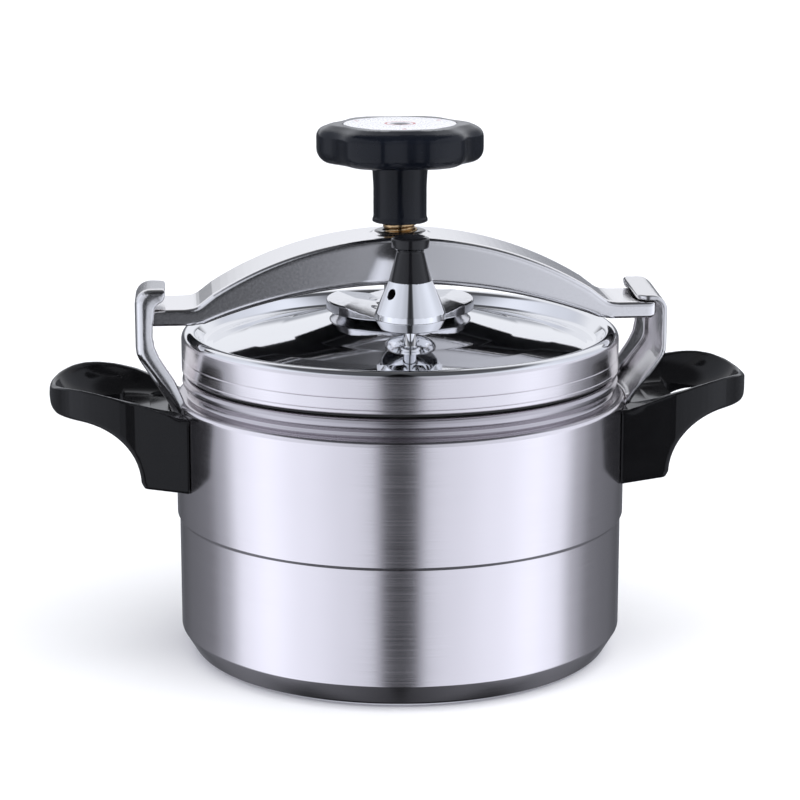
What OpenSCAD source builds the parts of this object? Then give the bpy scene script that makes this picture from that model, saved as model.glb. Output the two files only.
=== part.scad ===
// Screw-down pressure canner: aluminium pot, lid under a swing-out crossbar, two clamp brackets.
// Millimetres, +Z up. Origin: centre of the base's underside. X runs along the crossbar.

/* [Pot] */
// Outer radius of the lower wall
wall_r = 112; // [100:1:130]
// How far the upper wall stands out past the lower wall
belly_step = 1.2; // [0.6:0.1:2]
// Thickness of the pot's wall
wall_t = 3; // [2:0.5:4]
// Thickness of the pot's base
base_t = 4; // [3:0.5:6]
// Height of the step in the wall
step_z = 71; // [50:1:90]
// Height of the pot's rim
rim_z = 143; // [140:1:150]

/* [Lid] */
// Sheet thickness of the lid
lid_t = 2.5; // [2:0.1:3]
// Outer radius of the lid's skirt
skirt_r = 109.8; // [106:0.2:111]
// Distance from the axis to the vent pipe and to the safety plug
vent_y = 55; // [52:1:58]

/* [Crossbar and clamps] */
// Width of the crossbar
bar_w = 42; // [36:1:42]
// Half the length of the crossbar
bar_half = 127.2; // [124:0.2:128]
// Sheet thickness of the crossbar
bar_t = 3; // [2.5:0.5:4]
// Sheet thickness of the clamp brackets
clamp_t = 2.8; // [2:0.1:3.2]
// Distance from the axis to a bracket's outer face
clamp_x = 132.4; // [132:0.2:134]

/* [Screw and knob] */
// Radius of the screw's thread crests
screw_r = 8.5; // [8:0.5:9]
// Largest radius of the knob
knob_r = 41.5; // [36:0.5:46]
// Number of finger lobes round the knob
lobes = 6; // [5:1:10]

/* [Hidden] */
$fn = 96;

// Pot heights and radii
belly_r = wall_r + belly_step;
base_edge_z = 13;
base_flat_r = 101;
shoulder_z = 128;
neck_r = 106.4;
neck_z = 135;
bead_r = 109.6;
mouth_r = 103;
inner_r = wall_r - wall_t;

// Lid heights
lid_gap = 1.6;
skirt_z = rim_z + lid_gap;
crest_z = 164.8;
crest_r = 105.5;
well_r = 97;
well_z = 157.4;
dome_r1 = 60;
dome_z1 = 165;
dome_r2 = 35;
dome_z2 = 171.6;
crest_round = 4.3;
boss_r = 28;
boss_z = 174.2;
gasket_clear = 0.1;

// Pressure plate on the lid's boss
plate_r = 37;
plate_t = 5.3;
plate_z = boss_z + plate_t;
groove_d = 4;
groove_half = 20.7;
groove_turn = 20;
hub_r = 12;
hub_z = 178.2;
socket_r = 9.3;
socket_z = 176.2;
plate_rivet_r = 17;

// Crossbar heights
bar_top_z = 213;
bar_arch_r = 178;
bar_bot_z = 189.5;
bar_belly_r = 272;
toe_top_z = 179;
toe_bot_z = 170.5;
toe_flat_x = 108;
pad_r = 13.4;

// Clamp brackets; the left one is riveted on higher than the right one
cap_bot_z = 183.3;
cap_tilt = 4;
cap_tip_x = 117;
bend_z = 154.9;
left_lift = 2.2;
right_lift = -2.5;
leg_r = belly_r + 0.2;
leg_bot_z = 91;
leg_half = 20;
leg_top_z = 131;
flange_y = bar_w / 2 + 0.4;
flange_t = 2.6;
rivet_r = 2.5;
rivet_head_r = 4.5;
rivet_y = 13;
rivet_zs = [98, 119];

// Handles
block_half = 38;
block_bot_z = 88;
block_x = 129.4;
loop_x = 176;
loop_half = 43;
loop_c = loop_x - loop_half;
hole_x = 139;
hole_r = 28;
dish_r = 40;
dish_bot_z = 127;
dish_top_z = 142;
seat_z = 126.4;
screw_z = 108;
bolt_r = 3;
bolt_head_r = 5.5;
bolt_head_x = 128;

// Regulator on the vent pipe
pipe_r = 3.15;
pipe_bore_r = 1.6;
pipe_flange_z = 163.9;
reg_bot_z = 174.8;
reg_split_z = 198.2;
reg_top_z = 220.5;

// Screw stack
bush_r = 11;
bush_bot_z = 203;
ring_r = 12.8;
ring_top_z = 214;
foot_top_z = 189;
foot_bot_z = socket_z;
run_gap = 0.05;
knob_bot_z = 248;
knob_top_z = 267;
stem_bot_z = 218.2;
label_r = 28;
label_t = 0.8;

// Points along an arc, from angle a0 to angle a1
function arc(cx, cy, r, a0, a1, n = 6) =
    [for (i = [0:n]) [cx + r * cos(a0 + (a1 - a0) * i / n), cy + r * sin(a0 + (a1 - a0) * i / n)]];

// Height of a circular arch of radius r and crown height top, at distance x from the axis
function arch_z(x, r, top) = top - r + sqrt(r * r - x * x);

module lathe(points) {
    rotate_extrude($fn = 128) polygon(points);
}

// Side outline in X and Z, pushed out to a width along Y from y0
module side_extrude(y0, width) {
    translate([0, y0 + width, 0]) rotate([90, 0, 0]) linear_extrude(width) children();
}

module both_sides() {
    children();
    rotate([0, 0, 180]) children();
}

// Cylinder along +X from x0 to x1
module x_rod(x0, x1, r, y, z) {
    translate([x0, y, z]) rotate([0, 90, 0]) cylinder(h = x1 - x0, r = r);
}

// Holes through one side's wall, leg and block for the rivets and the handle bolt
module side_holes(clear) {
    for (y = [-rivet_y, rivet_y], z = rivet_zs) x_rod(100, 120, rivet_r + clear, y, z);
    x_rod(100, 150, bolt_r + clear, 0, screw_z);
}

module pot_body() {
    outside = concat(
        [[0, 0], [base_flat_r, 0], [base_flat_r + 4.5, 2.2], [wall_r, base_edge_z]],
        [[wall_r, step_z - 0.8], [belly_r, step_z + 0.8]],
        arc(belly_r - 7, shoulder_z - 3, 7, 0, 80),
        [[neck_r, neck_z]],
        arc(neck_r, rim_z - 3.4, bead_r - neck_r, -80, 80),
        [[neck_r, rim_z], [mouth_r, rim_z]]);
    inside = concat(
        [[mouth_r, neck_z - 1]],
        arc(belly_r - 10, shoulder_z - 3.5, 7, 75, 0),
        [[inner_r + belly_step, step_z + 1.6], [inner_r, step_z]],
        arc(inner_r - 9, base_t + 9, 9, 0, -90),
        [[0, base_t]]);
    color("silver") difference() {
        lathe(concat(outside, inside));
        both_sides() side_holes(0.05);
    }
}

// The right-hand bracket: its stiffening flange is on the +Y edge and the -Y side is open
module clamp_bracket(lift) {
    bend = bend_z + lift;
    cap = cap_bot_z + lift;
    sheet = concat(
        [[leg_r + 0.3, leg_top_z - 0.7], [leg_r + clamp_t - 0.1, leg_top_z - 2.5]],
        [[clamp_x, bend], [clamp_x, cap]],
        [[clamp_x - clamp_t, cap], [clamp_x - clamp_t, bend + 2.3]]);
    flange = [
        [leg_r + clamp_t - 3, leg_top_z - 4.2], [leg_r + clamp_t - 0.4, leg_top_z - 2.5],
        [clamp_x, bend], [clamp_x, cap + 2], [clamp_x - 14, cap + 2.6],
        [clamp_x - 11.6, cap - 2.3], [clamp_x - 9.6, cap - 8.3],
        [clamp_x - 8, bend + 4], [clamp_x - 18, bend - 13.5],
        [leg_r - 2.4, leg_top_z + 1]];
    leg_angle = asin(leg_half / leg_r);
    difference() {
        union() {
            rotate([0, 0, -leg_angle]) rotate_extrude(angle = 2 * leg_angle)
                translate([leg_r, leg_bot_z]) square([clamp_t, leg_top_z - leg_bot_z]);
            side_extrude(-leg_half, leg_half + flange_y + flange_t) polygon(sheet);
            side_extrude(flange_y, flange_t) polygon(flange);
            hook_cap(cap);
        }
        side_holes(0.05);
    }
}

// Hook over the crossbar's toe: a plate that rises towards the flange, with rounded plan corners
module hook_cap(cap) {
    cap_len = clamp_x - cap_tip_x;
    cap_w = leg_half + flange_y + flange_t;
    corner = 5;
    translate([0, 0, cap]) rotate([cap_tilt, 0, 0]) intersection() {
        side_extrude(-leg_half, cap_w) polygon(concat(
            [[cap_tip_x, 0], [cap_tip_x, clamp_t]],
            arc(clamp_x - corner, clamp_t - corner, corner, 90, 0),
            [[clamp_x, -4], [clamp_x - clamp_t, -4], [clamp_x - clamp_t, 0]]));
        translate([0, 0, -10]) linear_extrude(20) union() {
            translate([cap_tip_x + corner, -leg_half]) square([cap_len - corner, cap_w]);
            translate([cap_tip_x, corner - leg_half]) square([corner, cap_w - 2 * corner]);
            translate([cap_tip_x + corner, corner - leg_half]) circle(corner);
            translate([cap_tip_x + corner, cap_w - leg_half - corner]) circle(corner);
        }
    }
}

module right_clamp_bracket() {
    color("gainsboro") clamp_bracket(right_lift);
}

module left_clamp_bracket() {
    color("gainsboro") rotate([0, 0, 180]) clamp_bracket(left_lift);
}

module bracket_rivets() {
    head_in = sqrt(pow(inner_r + belly_step, 2) - pow(rivet_y + rivet_head_r, 2));
    head_out = sqrt(pow(leg_r + clamp_t, 2) - pow(rivet_y - rivet_head_r, 2));
    color("lightgray") both_sides() for (y = [-rivet_y, rivet_y], z = rivet_zs) {
        x_rod(head_in - 1.6, head_out + 1.6, rivet_r, y, z);
        x_rod(head_in - 1.6, head_in, rivet_head_r, y, z);
        x_rod(head_out + 0.02, head_out + 1.6, rivet_head_r, y, z);
    }
}

// The right-hand handle: a block against the pot that flares out into a dished finger loop
module bakelite_handle() {
    side = concat(
        [[100, block_bot_z], [block_x, block_bot_z + 6]],
        arc(161, 96, 30.4, 180, 88, 8),
        [[171, 127.2], [loop_x - 1.4, 129.6], [loop_x, 133.6], [loop_x, 137.6], [loop_x - 1.6, 139.6]],
        [[171, 140.9], [166, 142], [160, 142.4], [153, 141.9], [145, 140.2], [133, 137]],
        [[126, 134], [119, 131.4], [111, 127.6], [100, 127.2]]);
    plan = concat(
        [[100, -block_half], [108, -block_half], [loop_c, -loop_half]],
        arc(loop_c, 0, loop_half, -86, 86, 24),
        [[loop_c, loop_half], [108, block_half], [100, block_half]]);
    difference() {
        intersection() {
            side_extrude(-loop_half - 1, 2 * loop_half + 2) polygon(side);
            translate([0, 0, 80]) linear_extrude(80) polygon(plan);
        }
        intersection() {
            union() {
                translate([loop_c, 0, 100]) cylinder(h = 40, r = hole_r);
                translate([loop_c, 0, dish_bot_z])
                    cylinder(h = dish_top_z - dish_bot_z, r1 = hole_r, r2 = dish_r);
                translate([loop_c, 0, dish_top_z]) cylinder(h = 10, r = dish_r);
            }
            side_extrude(-50, 100) polygon([
                [hole_x, 90], [hole_x, dish_bot_z + 0.4], [112, seat_z + 0.2],
                [112, 160], [190, 160], [190, 90]]);
        }
        translate([0, 0, 80]) cylinder(h = 80, r = belly_r + 0.15);
        intersection() {
            translate([0, 0, leg_bot_z - 0.6]) cylinder(h = 80, r = leg_r + clamp_t + 0.15);
            translate([90, -leg_half - 0.8, 80]) cube([40, 2 * leg_half + 1.6, 80]);
        }
        translate([100, -25, seat_z]) cube([26, 50, 30]);
        for (y = [-rivet_y, rivet_y], z = rivet_zs) x_rod(105, 118.4, rivet_head_r + 0.5, y, z);
        x_rod(100, 150, bolt_r + 0.1, 0, screw_z);
        x_rod(bolt_head_x, 150, bolt_head_r + 0.4, 0, screw_z);
    }
}

module right_handle() {
    color([0.06, 0.06, 0.07]) bakelite_handle();
}

module left_handle() {
    color([0.06, 0.06, 0.07]) rotate([0, 0, 180]) bakelite_handle();
}

module handle_screws() {
    color("silver") both_sides() difference() {
        union() {
            x_rod(104.6, bolt_head_x, bolt_r, 0, screw_z);
            x_rod(bolt_head_x + 0.02, bolt_head_x + 3.6, bolt_head_r, 0, screw_z);
        }
        translate([bolt_head_x + 2, -0.7, screw_z - 10]) cube([5, 1.4, 20]);
    }
}

module handle_nuts() {
    nut_x = inner_r + belly_step - 0.2;
    color("silver") both_sides() difference() {
        union() {
            translate([nut_x - 4, 0, screw_z]) rotate([0, 90, 0]) cylinder(h = 4, r = 5.6, $fn = 6);
            x_rod(nut_x - 7.5, nut_x - 4, 4, 0, screw_z);
        }
        x_rod(104.4, nut_x + 1, bolt_r + 0.02, 0, screw_z);
    }
}

// Outline of the lid's upper surface from the centre out to the foot of the skirt
lid_top = concat(
    [[0, boss_z], [boss_r - 2, boss_z]],
    arc(boss_r - 2, boss_z - 2, 2, 80, 20, 3),
    [[dome_r2, dome_z2], [dome_r1, dome_z1], [well_r - 4.6, well_z + 0.6], [well_r - 3.6, well_z]],
    [[well_r, well_z]],
    arc(well_r, well_z + 2.8, 2.8, -90, -35, 3),
    arc(crest_r, crest_z - crest_round, crest_round, 145, 0, 10),
    [[skirt_r, skirt_z]]);

lid_under = concat(
    [[skirt_r - lid_t, skirt_z]],
    arc(crest_r, crest_z - crest_round, crest_round - lid_t, 0, 145, 6),
    [[well_r + 3.2, well_z - lid_t + 1.3], [well_r + 1.2, well_z - lid_t]],
    [[well_r - 3.8, well_z - lid_t], [well_r - 5, well_z - lid_t + 0.6]],
    [[dome_r1, dome_z1 - lid_t], [dome_r2, dome_z2 - lid_t]],
    [[boss_r - 2, boss_z - lid_t], [0, boss_z - lid_t]]);

module lid_shell() {
    color("lightgray") difference() {
        union() {
            lathe(concat(lid_top, lid_under));
            intersection() {
                lathe(concat(lid_top, [[0, skirt_z]]));
                for (y = [-vent_y, vent_y])
                    translate([0, y, pipe_flange_z - lid_t]) cylinder(h = 8, r = 12.3);
            }
        }
        for (y = [-vent_y, vent_y]) {
            translate([0, y, pipe_flange_z]) cylinder(h = 20, r = 10.4);
            translate([0, y, 140]) cylinder(h = 40, r = 4.05);
        }
        for (a = [45:90:315])
            rotate([0, 0, a]) translate([plate_rivet_r, 0, 160]) cylinder(h = 20, r = 2.05);
    }
}

module lid_gasket() {
    color([0.12, 0.12, 0.12]) lathe([
        [99.5, rim_z + gasket_clear], [skirt_r - lid_t - 0.1, rim_z + gasket_clear],
        [skirt_r - lid_t - 0.1, 158.6], [103.8, 158.6], [99.5, 154.4]]);
}

module vent_pipe() {
    color("silver") translate([0, -vent_y, 0]) lathe([
        [pipe_bore_r, 151], [4, 151], [4, pipe_flange_z], [5.3, pipe_flange_z],
        [5.3, pipe_flange_z + 1.2], [4.4, pipe_flange_z + 1.9], [pipe_r, pipe_flange_z + 1.9],
        [pipe_r, 185], [pipe_bore_r, 185]]);
}

module seal_ring(y) {
    translate([0, y, pipe_flange_z - lid_t - 1.25]) difference() {
        cylinder(h = 1.2, r = 8);
        translate([0, 0, -1]) cylinder(h = 4, r = 4.05);
    }
}

module hex_nut(y) {
    translate([0, y, pipe_flange_z - lid_t - 5.5]) difference() {
        cylinder(h = 4.2, r = 7.6, $fn = 6);
        translate([0, 0, -1]) cylinder(h = 7, r = 4.05);
    }
}

module vent_pipe_washer() {
    color("dimgray") seal_ring(-vent_y);
}

module vent_pipe_nut() {
    color("silver") hex_nut(-vent_y);
}

module safety_plug_seal() {
    color("dimgray") seal_ring(vent_y);
}

module safety_plug_nut() {
    color("silver") hex_nut(vent_y);
}

module safety_plug() {
    color("goldenrod") translate([0, vent_y, 0]) {
        translate([0, 0, 152]) cylinder(h = pipe_flange_z - 152, r = 4);
        translate([0, 0, pipe_flange_z]) cylinder(h = 3.6, r = 7.4, $fn = 6);
        translate([0, 0, pipe_flange_z + 3.6]) cylinder(h = 1.6, r = 4.6);
    }
}

module pressure_plate() {
    color("whitesmoke") difference() {
        union() {
            difference() {
                lathe([[0, boss_z], [plate_r - 1, boss_z], [plate_r, boss_z + 1],
                    [plate_r, plate_z - 1.2], [plate_r - 1.2, plate_z], [0, plate_z]]);
                for (a = [-groove_turn, groove_turn]) rotate([0, 0, a])
                    side_extrude(-50, 100) polygon([
                        [-groove_half, plate_z + 0.01],
                        [0, plate_z - groove_d],
                        [groove_half, plate_z + 0.01]]);
            }
            translate([0, 0, boss_z]) cylinder(h = hub_z - boss_z, r = hub_r);
        }
        translate([0, 0, socket_z]) cylinder(h = 10, r = socket_r);
        for (a = [45:90:315]) rotate([0, 0, a]) translate([plate_rivet_r, 0, 0]) {
            translate([0, 0, 160]) cylinder(h = 30, r = 2.05);
            translate([0, 0, boss_z + 1.3]) cylinder(h = 10, r = 3.3);
        }
    }
}

module plate_rivets() {
    color("lightgray") for (a = [45:90:315]) rotate([0, 0, a]) translate([plate_rivet_r, 0, 0]) {
        translate([0, 0, boss_z - lid_t - 1.4]) cylinder(h = 4.8, r = 2);
        translate([0, 0, boss_z - lid_t - 1.42]) cylinder(h = 1.4, r = 3.4);
        translate([0, 0, boss_z + 1.32]) cylinder(h = 1.6, r = 3.2);
    }
}

// The weight's side hole looks to the front left
module regulator_weight() {
    color("silver") translate([0, -vent_y, 0]) difference() {
        lathe([[pipe_r + 0.15, reg_bot_z], [14.3, reg_bot_z], [17.25, reg_bot_z + 5],
            [17, reg_bot_z + 8], [10.4, reg_split_z], [2.25, reg_split_z],
            [2.25, 187], [pipe_r + 0.15, 187]]);
        rotate([0, 0, -142]) x_rod(5.5, 20, 2.3, 0, reg_split_z - 5.4);
    }
}

module regulator_cap() {
    color([0.05, 0.05, 0.05]) translate([0, -vent_y, 0]) difference() {
        lathe([[0, reg_split_z], [10.4, reg_split_z], [6.35, reg_top_z - 6], [9.15, reg_top_z - 4.8],
            [9.15, reg_top_z - 0.9], [8.2, reg_top_z], [0, reg_top_z]]);
        translate([0, 0, reg_split_z - 1]) cylinder(h = 6, r = 2.25);
    }
}

module regulator_needle() {
    color("goldenrod") translate([0, -vent_y, 0]) lathe([
        [0, 181], [0.4, 181], [1.3, 184], [1.3, 185.2], [2.2, 185.2],
        [2.2, reg_split_z + 4.6], [0, reg_split_z + 4.6]]);
}

// Half of the crossbar's side outline: arch, concave fillet and flat toe on top, belly below
function bar_half_top(x1) = [for (x = [0:6:96]) [x, arch_z(x, bar_arch_r, bar_top_z)]];

function bar_half_bottom() = [for (x = [100:-10:0]) [x, arch_z(x, bar_belly_r, bar_bot_z)]];

module crossbar_outline() {
    half = concat(
        bar_half_top(96),
        [[101, toe_top_z + 1.8], [104.5, toe_top_z + 0.5], [toe_flat_x, toe_top_z], [bar_half, toe_top_z]],
        arc(bar_half - 5, toe_bot_z + 5, 5, 0, -90, 5),
        [[105, toe_bot_z]],
        bar_half_bottom());
    polygon(half);
    mirror([1, 0]) polygon(half);
}

module crossbar_hollow() {
    half = concat(
        [for (p = bar_half_top(96)) [p[0], p[1] - bar_t]],
        [[102, toe_top_z - bar_t - 0.6], [bar_half - bar_t, toe_top_z - bar_t]],
        [[bar_half - bar_t, 160], [0, 160]]);
    polygon(half);
    mirror([1, 0]) polygon(half);
}

module crossbar_beam() {
    inner_w = bar_w - 2 * bar_t;
    color("gainsboro") difference() {
        union() {
            difference() {
                side_extrude(-bar_w / 2, bar_w) crossbar_outline();
                side_extrude(-inner_w / 2, inner_w) crossbar_hollow();
            }
            translate([0, 0, bar_top_z - bar_t]) cylinder(h = bar_t, r = pad_r);
        }
        translate([0, 0, 190]) cylinder(h = 40, r = bush_r + 0.02);
    }
}

module crossbar_bush() {
    color("silver") difference() {
        union() {
            translate([0, 0, bush_bot_z]) cylinder(h = bar_top_z - bush_bot_z, r = bush_r);
            translate([0, 0, bush_bot_z]) cylinder(h = bar_top_z - bar_t - bush_bot_z - 0.9, r = 15);
        }
        translate([0, 0, 190]) cylinder(h = 40, r = screw_r + run_gap);
    }
}

module bush_lock_ring() {
    color([0.1, 0.1, 0.11]) lathe([
        [screw_r + 0.3, bar_top_z], [ring_r - 0.5, bar_top_z], [ring_r, bar_top_z + 0.6],
        [ring_r - 1, ring_top_z], [screw_r + 0.3, ring_top_z]]);
}

module screw_foot() {
    color("silver") lathe([
        [0, foot_bot_z], [9, foot_bot_z], [9, foot_bot_z + 3.6], [8, foot_bot_z + 4.6],
        [8, foot_top_z], [5 + run_gap, foot_top_z], [5 + run_gap, 187.1], [6.6, 187.1], [6.6, 185.5],
        [5 + run_gap, 185.5], [5 + run_gap, 182], [0, 182]]);
}

module foot_clip() {
    color("dimgray") lathe([[4.1, 185.6], [6.58, 185.6], [6.58, 187], [4.1, 187]]);
}

module spindle() {
    shank_top_z = 246;
    color("goldenrod") difference() {
        lathe([[0, 182.2], [5, 182.2], [5, 185.4], [4, 185.4], [4, 187.2], [5, 187.2], [5, 190],
            [screw_r - 1.5, 190], [screw_r, 191.5], [screw_r, stem_bot_z], [6.5, stem_bot_z],
            [6.5, shank_top_z], [0, shank_top_z]]);
        translate([5.2, -10, stem_bot_z + 0.01]) cube([10, 20, 40]);
        translate([0, 0, 232]) cylinder(h = 30, r = 2.55);
    }
}

module knob() {
    color([0.06, 0.06, 0.07]) difference() {
        lathe(concat(
            [[0, stem_bot_z + 0.02], [13.7, stem_bot_z + 0.02]],
            [[13.9, stem_bot_z + 1], [13.3, stem_bot_z + 2.2]],
            [[13.9, knob_bot_z - 3], [17, knob_bot_z + 0.6], [knob_r - 8, knob_bot_z]],
            arc(knob_r - 4.5, knob_bot_z + 5.5, 4.5, -60, 0, 4),
            arc(knob_r - 5.5, knob_top_z - 5.8, 5.5, 0, 75, 5),
            [[label_r + 0.6, knob_top_z], [0, knob_top_z]]));
        for (i = [0:lobes - 1]) rotate([0, 0, (i + 0.5) * 360 / lobes])
            translate([knob_r + 12.8, 0, knob_bot_z - 2]) cylinder(h = 30, r = 16);
        translate([0, 0, knob_top_z - label_t]) cylinder(h = 5, r = label_r + 0.1);
        translate([0, 0, 200]) intersection() {
            cylinder(h = 46.05, r = 6.55);
            translate([-10, -10, 0]) cube([15.25, 20, 60]);
        }
        cylinder(h = 300, r = 2.7);
        translate([0, 0, knob_top_z - 4.6]) cylinder(h = 10, r = 5.1);
    }
}

module knob_label() {
    color("whitesmoke") translate([0, 0, knob_top_z - label_t]) difference() {
        cylinder(h = label_t, r = label_r);
        translate([0, 0, -1]) cylinder(h = 4, r = 5.1);
    }
}

module knob_screw() {
    color("silver") difference() {
        union() {
            translate([0, 0, 234]) cylinder(h = 29, r = 2.5);
            translate([0, 0, knob_top_z - 4.58]) cylinder(h = 3.4, r = 4.6);
        }
        translate([0, 0, knob_top_z - 2.9]) cylinder(h = 4, r = 2.4, $fn = 6);
    }
}

pot_body();
left_clamp_bracket();
right_clamp_bracket();
bracket_rivets();
left_handle();
right_handle();
handle_screws();
handle_nuts();
lid_shell();
lid_gasket();
vent_pipe();
vent_pipe_nut();
vent_pipe_washer();
safety_plug();
safety_plug_nut();
safety_plug_seal();
pressure_plate();
plate_rivets();
regulator_weight();
regulator_cap();
regulator_needle();
crossbar_beam();
crossbar_bush();
bush_lock_ring();
screw_foot();
foot_clip();
spindle();
knob();
knob_label();
knob_screw();
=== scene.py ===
import math

import bmesh
import bpy
import numpy as np
from mathutils import Matrix, Vector


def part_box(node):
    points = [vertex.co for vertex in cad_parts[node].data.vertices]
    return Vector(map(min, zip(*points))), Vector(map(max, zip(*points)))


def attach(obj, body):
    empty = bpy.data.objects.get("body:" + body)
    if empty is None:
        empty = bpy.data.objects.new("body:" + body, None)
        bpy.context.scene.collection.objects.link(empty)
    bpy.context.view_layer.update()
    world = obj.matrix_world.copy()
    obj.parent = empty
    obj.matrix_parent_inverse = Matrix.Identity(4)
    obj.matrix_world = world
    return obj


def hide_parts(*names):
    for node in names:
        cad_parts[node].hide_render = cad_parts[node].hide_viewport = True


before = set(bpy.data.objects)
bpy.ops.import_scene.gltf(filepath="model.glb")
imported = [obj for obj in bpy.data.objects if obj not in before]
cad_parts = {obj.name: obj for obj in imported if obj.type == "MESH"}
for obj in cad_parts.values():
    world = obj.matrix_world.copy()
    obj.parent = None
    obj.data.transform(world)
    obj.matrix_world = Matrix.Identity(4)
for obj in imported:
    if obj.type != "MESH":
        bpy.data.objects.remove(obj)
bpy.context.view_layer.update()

# ---------------------------------------------------------------- sizes, in millimetres
MM = 0.001
POT_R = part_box("pot_body")[1][0] / MM      # outside radius of the upper wall
STEP = 1.2                                 # the lower wall is this much smaller in radius
WALL_R = POT_R - STEP
RIM_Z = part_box("pot_body")[1][2] / MM
SKIRT_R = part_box("lid_shell")[1][0] / MM
SKIRT_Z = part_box("lid_shell")[0][2] / MM
VENT_Y = 55.0                              # vent pipe and safety plug, from the axis
BAR_W = (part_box("crossbar_beam")[1][1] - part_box("crossbar_beam")[0][1]) / MM
BAR_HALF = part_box("crossbar_beam")[1][0] / MM
BAR_TOP = 213.0                            # crown of the crossbar
KNOB_R = 41.5                              # largest radius of the knob
SEAT_Z = 163.9                             # flat seats in the lid, under the vent pipe and the plug
LEG_R = 114.8                              # middle of the sheet of a bracket's leg, from the axis
BOLT_Z = 108                               # handle bolts
RIGHT_LIFT, LEFT_LIFT = -2.5, 2.2          # how far each bracket's hook stands from its drawn height
TURN_SEGMENTS = 192


# ---------------------------------------------------------------- mesh helpers
def filleted(points, closed=False, steps=6):
    """A polyline of (x, y, fillet radius) as plain points, with each corner rounded to its radius."""
    out = []
    count = len(points)
    for i, (x, y, radius) in enumerate(points):
        here = Vector((x, y))
        if radius <= 0 or (not closed and i in (0, count - 1)):
            out.append(here)
            continue
        before = Vector(points[i - 1][:2])
        after = Vector(points[(i + 1) % count][:2])
        a, b = before - here, after - here
        angle = a.angle(b)
        if angle > math.radians(178):
            out.append(here)
            continue
        reach = radius / math.tan(angle / 2)
        reach = min(reach, 0.49 * a.length, 0.49 * b.length)
        radius = reach * math.tan(angle / 2)
        start, end = here + a.normalized() * reach, here + b.normalized() * reach
        centre = here + (a.normalized() + b.normalized()).normalized() * (radius / math.sin(angle / 2))
        a0, a1 = start - centre, end - centre
        turn = a0.angle_signed(a1) * -1
        n = max(2, math.ceil(steps * abs(turn) / (math.pi / 2)))
        for k in range(n + 1):
            out.append(centre + Matrix.Rotation(turn * k / n, 2) @ a0)
    return out


def object_from(bm, name, smooth_angle=40):
    """An object from a bmesh in millimetres: metres, normals outwards, smooth up to an angle."""
    bmesh.ops.remove_doubles(bm, verts=bm.verts, dist=1e-5)
    bmesh.ops.recalc_face_normals(bm, faces=bm.faces)
    bmesh.ops.scale(bm, vec=(MM, MM, MM), verts=bm.verts)
    mesh = bpy.data.meshes.new(name)
    bm.to_mesh(mesh)
    bm.free()
    mesh.shade_smooth()
    mesh.set_sharp_from_angle(angle=math.radians(smooth_angle))
    piece = bpy.data.objects.new(name, mesh)
    bpy.context.scene.collection.objects.link(piece)
    return piece


def add_lathe(bm, profile, centre=(0, 0), segments=TURN_SEGMENTS, closed=False):
    """Adds a solid turned from (radius, height) points; an open profile starts and ends on the axis."""
    rings = []
    for r, z in profile:
        if r < 1e-6:
            rings.append([bm.verts.new((centre[0], centre[1], z))])
            continue
        rings.append([bm.verts.new((centre[0] + r * math.cos(2 * math.pi * k / segments),
                                    centre[1] + r * math.sin(2 * math.pi * k / segments), z))
                      for k in range(segments)])
    pairs = list(zip(rings, rings[1:]))
    if closed:
        pairs.append((rings[-1], rings[0]))
    for low, high in pairs:
        for k in range(segments):
            n = (k + 1) % segments
            corners = [low[k % len(low)], low[n % len(low)], high[n % len(high)], high[k % len(high)]]
            unique = list(dict.fromkeys(corners))
            if len(unique) > 2:
                bm.faces.new(unique)


def lathe(name, points, centre=(0, 0), closed=False, segments=TURN_SEGMENTS, steps=6):
    """An object turned from a profile of (radius, height, fillet radius)."""
    bm = bmesh.new()
    add_lathe(bm, filleted(points, closed, steps), centre, segments, closed)
    return object_from(bm, name)


def arc(cx, cy, radius, first, last, steps=10):
    """Points on an arc from one angle to another, in degrees, as unrounded (x, y, 0)."""
    angles = [math.radians(first + (last - first) * i / steps) for i in range(steps + 1)]
    return [(cx + radius * math.cos(a), cy + radius * math.sin(a), 0) for a in angles]


# ---------------------------------------------------------------- shapes as distance fields
def both(a, b, k):
    """Where two fields overlap, with the edge between them rounded to about k."""
    h = np.maximum(k - np.abs(a - b), 0) / k
    return np.maximum(a, b) + h * h * k / 4


def either(a, b, k):
    """Two fields joined, with the corner between them filled to about k."""
    return -both(-a, -b, k)


def without(a, b, k):
    """The first field with the second cut out of it."""
    return both(a, -b, k)


def ease(x, low, high):
    """A smooth step from 0 at low to 1 at high."""
    t = np.clip((x - low) / (high - low), 0, 1)
    return t * t * (3 - 2 * t)


def outline(p, q, points):
    """Distance of (p, q) from a closed outline, negative inside it."""
    best = np.full(np.shape(p), 1e9)
    inside = np.zeros(np.shape(p), bool)
    for (ax, ay), (bx, by) in zip(points, points[1:] + points[:1]):
        ex, ey = bx - ax, by - ay
        if ex * ex + ey * ey < 1e-12:
            continue
        t = np.clip(((p - ax) * ex + (q - ay) * ey) / (ex * ex + ey * ey), 0, 1)
        best = np.minimum(best, (p - ax - t * ex) ** 2 + (q - ay - t * ey) ** 2)
        if ay != by:
            crosses = ((ay > q) != (by > q)) & (p < ex * (q - ay) / ey + ax)
            inside ^= crosses
    return np.where(inside, -1, 1) * np.sqrt(best)


def line_distance(p, q, points):
    """Distance of (p, q) from an open line."""
    best = np.full(np.shape(p), 1e9)
    for (ax, ay), (bx, by) in zip(points, points[1:]):
        ex, ey = bx - ax, by - ay
        t = np.clip(((p - ax) * ex + (q - ay) * ey) / (ex * ex + ey * ey), 0, 1)
        best = np.minimum(best, (p - ax - t * ex) ** 2 + (q - ay - t * ey) ** 2)
    return np.sqrt(best)


def field_normals(field, points):
    """The field's slope at each point."""
    nudge = 0.01
    out = np.empty_like(points)
    for axis in range(3):
        step = np.zeros(3)
        step[axis] = nudge
        out[:, axis] = (field(*(points + step).T) - field(*(points - step).T)) / (2 * nudge)
    return out


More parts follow.
